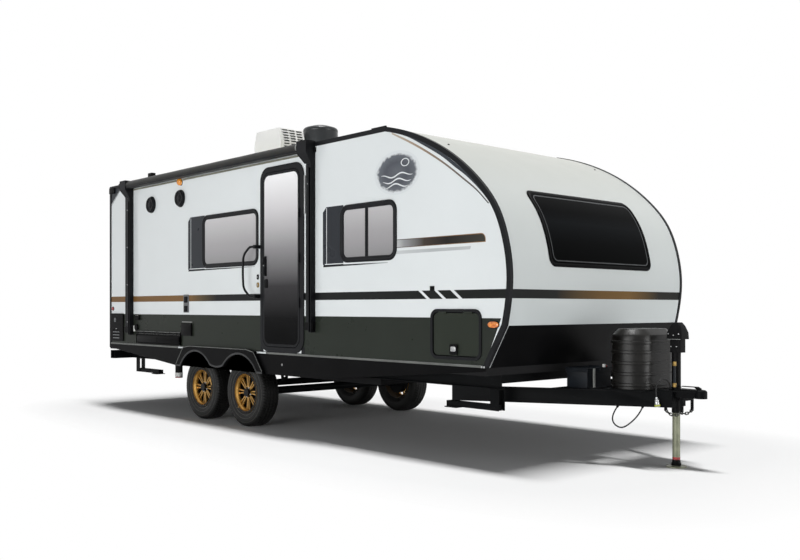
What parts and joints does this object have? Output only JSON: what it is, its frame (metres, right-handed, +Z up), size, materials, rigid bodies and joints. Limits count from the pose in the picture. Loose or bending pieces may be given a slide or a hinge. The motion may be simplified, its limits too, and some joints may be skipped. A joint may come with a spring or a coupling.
{
  "type": "tandem axle travel trailer with a rounded nose",
  "caption": "Towed camping trailer with a rounded teardrop-like nose, tandem wheels, side door, awning, and a tongue with jack and coupler.",
  "frame": {"origin": "on the ground, under the middle of the trailer from bumper to coupler", "axes": "+X forwards to the coupler, +Y to the trailer's left, +Z up"},
  "size_m": [7.485, 2.46, 3.0773],
  "materials": {
    "tyre_rubber": "matt, ribbed tread",
    "bronze_rim": "satin bronze paint",
    "black_frame_paint": "semi-gloss black",
    "white_side_skin": "gloss white laminate with an olive lower band",
    "nose_cap_skin": "gloss white",
    "roof_membrane": "matt off-white",
    "dark_underbelly": "matt black",
    "dark_panel": "satin charcoal",
    "black_trim": "satin black",
    "tinted_glass": "dark tinted",
    "olive_panel": "satin olive charcoal",
    "bright_trim": "brushed",
    "awning_vinyl": "black vinyl roll",
    "black_plastic": "moulded, satin",
    "zinc_plate": "zinc plated",
    "lamp_lens": "amber and red lenses",
    "cable_jacket": "matt black"
  },
  "bodies": {
    "trailer": {"awning_arms": "black_trim", "awning_roller": "awning_vinyl", "axles": "black_frame_paint", "battery_box": "black_plastic", "coupler": "black_frame_paint", "door_frame": "black_trim", "edge_trim": "black_trim", "fenders": "dark_panel", "floor_deck": "dark_underbelly", "front_cap": "nose_cap_skin", "gas_bottle_cover": "black_plastic", "grab_handle_posts": "black_trim", "jack_housing": "black_plastic", "lamps": "lamp_lens", "left_side_wall": "white_side_skin", "locker_frames": "black_trim", "loop_cable": "cable_jacket", "lower_nose_panel": "dark_panel", "lower_trim": "bright_trim", "main_frame": "black_frame_paint", "plug": "cable_jacket", "plug_cable": "cable_jacket", "rear_bumper": "black_frame_paint", "rear_wall": "white_side_skin", "right_side_wall": "white_side_skin", "roof_dome": "black_plastic", "roof_panel": "roof_membrane", "roof_vents": "roof_membrane", "safety_chains": "black_frame_paint", "shelf_rail": "dark_panel", "shower_inlet": "black_plastic", "skirts": "dark_panel", "speakers": "black_trim", "stabiliser_brackets": "black_frame_paint", "suspension": "black_frame_paint", "tongue_frame": "black_frame_paint", "vent_panel": "dark_panel", "waste_tank": "dark_underbelly", "wheel_wells": "dark_underbelly", "window_frames": "black_trim", "window_glass": "tinted_glass"},
    "front_right_wheel": {"front_right_tyre": "tyre_rubber", "front_right_rim": "bronze_rim"},
    "front_left_wheel": {"front_left_tyre": "tyre_rubber", "front_left_rim": "bronze_rim"},
    "rear_right_wheel": {"rear_right_tyre": "tyre_rubber", "rear_right_rim": "bronze_rim"},
    "rear_left_wheel": {"rear_left_tyre": "tyre_rubber", "rear_left_rim": "bronze_rim"},
    "entry_door": {"entry_door_leaf": "black_trim", "entry_door_panel": "tinted_glass", "door_lock": "black_trim"},
    "right_locker_lid": {"right_locker_door": "olive_panel"},
    "left_locker_lid": {"left_locker_door": "olive_panel"},
    "jack_foot": {"jack_leg": "zinc_plate"},
    "grab_handle_bar": {"grab_handle": "black_trim"},
    "right_front_stabiliser": {"right_front_stabiliser_leg": "black_frame_paint"},
    "right_rear_stabiliser": {"right_rear_stabiliser_leg": "black_frame_paint"},
    "left_front_stabiliser": {"left_front_stabiliser_leg": "black_frame_paint"},
    "left_rear_stabiliser": {"left_rear_stabiliser_leg": "black_frame_paint"}
  },
  "joints": [
    {"name": "front_right_wheel_spin", "type": "hinge", "parent": "trailer", "child": "front_right_wheel", "pos_m": [-0.6625, -1.025, 0.344], "axis": [0, 1, 0], "continuous": true},
    {"name": "front_left_wheel_spin", "type": "hinge", "parent": "trailer", "child": "front_left_wheel", "pos_m": [-0.6625, 1.025, 0.344], "axis": [0, 1, 0], "continuous": true},
    {"name": "rear_right_wheel_spin", "type": "hinge", "parent": "trailer", "child": "rear_right_wheel", "pos_m": [-1.5025, -1.025, 0.344], "axis": [0, 1, 0], "continuous": true},
    {"name": "rear_left_wheel_spin", "type": "hinge", "parent": "trailer", "child": "rear_left_wheel", "pos_m": [-1.5025, 1.025, 0.344], "axis": [0, 1, 0], "continuous": true},
    {"name": "entry_door_swing", "type": "hinge", "parent": "trailer", "child": "entry_door", "pos_m": [0.33, -1.178, 1.656], "axis": [0, 0, 1], "range_deg": [0, 110]},
    {"name": "right_locker_lift", "type": "hinge", "parent": "trailer", "child": "right_locker_lid", "pos_m": [2.3135, -1.166, 1.1585], "axis": [-1, 0, 0], "range_deg": [0, 95]},
    {"name": "left_locker_lift", "type": "hinge", "parent": "trailer", "child": "left_locker_lid", "pos_m": [2.3135, 1.166, 1.1585], "axis": [1, 0, 0], "range_deg": [0, 95]},
    {"name": "grab_handle_swing", "type": "hinge", "parent": "trailer", "child": "grab_handle_bar", "pos_m": [-0.3345, -1.22, 1.5465], "axis": [0, 0, -1], "range_deg": [-168, 7]},
    {"name": "jack_slide", "type": "slide", "parent": "trailer", "child": "jack_foot", "axis": [0, 0, 1], "range_m": [0, 0.33]},
    {"name": "right_front_stabiliser_swing", "type": "hinge", "parent": "trailer", "child": "right_front_stabiliser", "pos_m": [2.4725, -0.86, 0.425], "axis": [0, -1, 0], "range_deg": [0, 50]},
    {"name": "left_front_stabiliser_swing", "type": "hinge", "parent": "trailer", "child": "left_front_stabiliser", "pos_m": [2.4725, 0.86, 0.425], "axis": [0, -1, 0], "range_deg": [0, 50]},
    {"name": "right_rear_stabiliser_swing", "type": "hinge", "parent": "trailer", "child": "right_rear_stabiliser", "pos_m": [-3.4125, -0.86, 0.425], "axis": [0, 1, 0], "range_deg": [0, 50]},
    {"name": "left_rear_stabiliser_swing", "type": "hinge", "parent": "trailer", "child": "left_rear_stabiliser", "pos_m": [-3.4125, 0.86, 0.425], "axis": [0, 1, 0], "range_deg": [0, 50]}
  ]
}
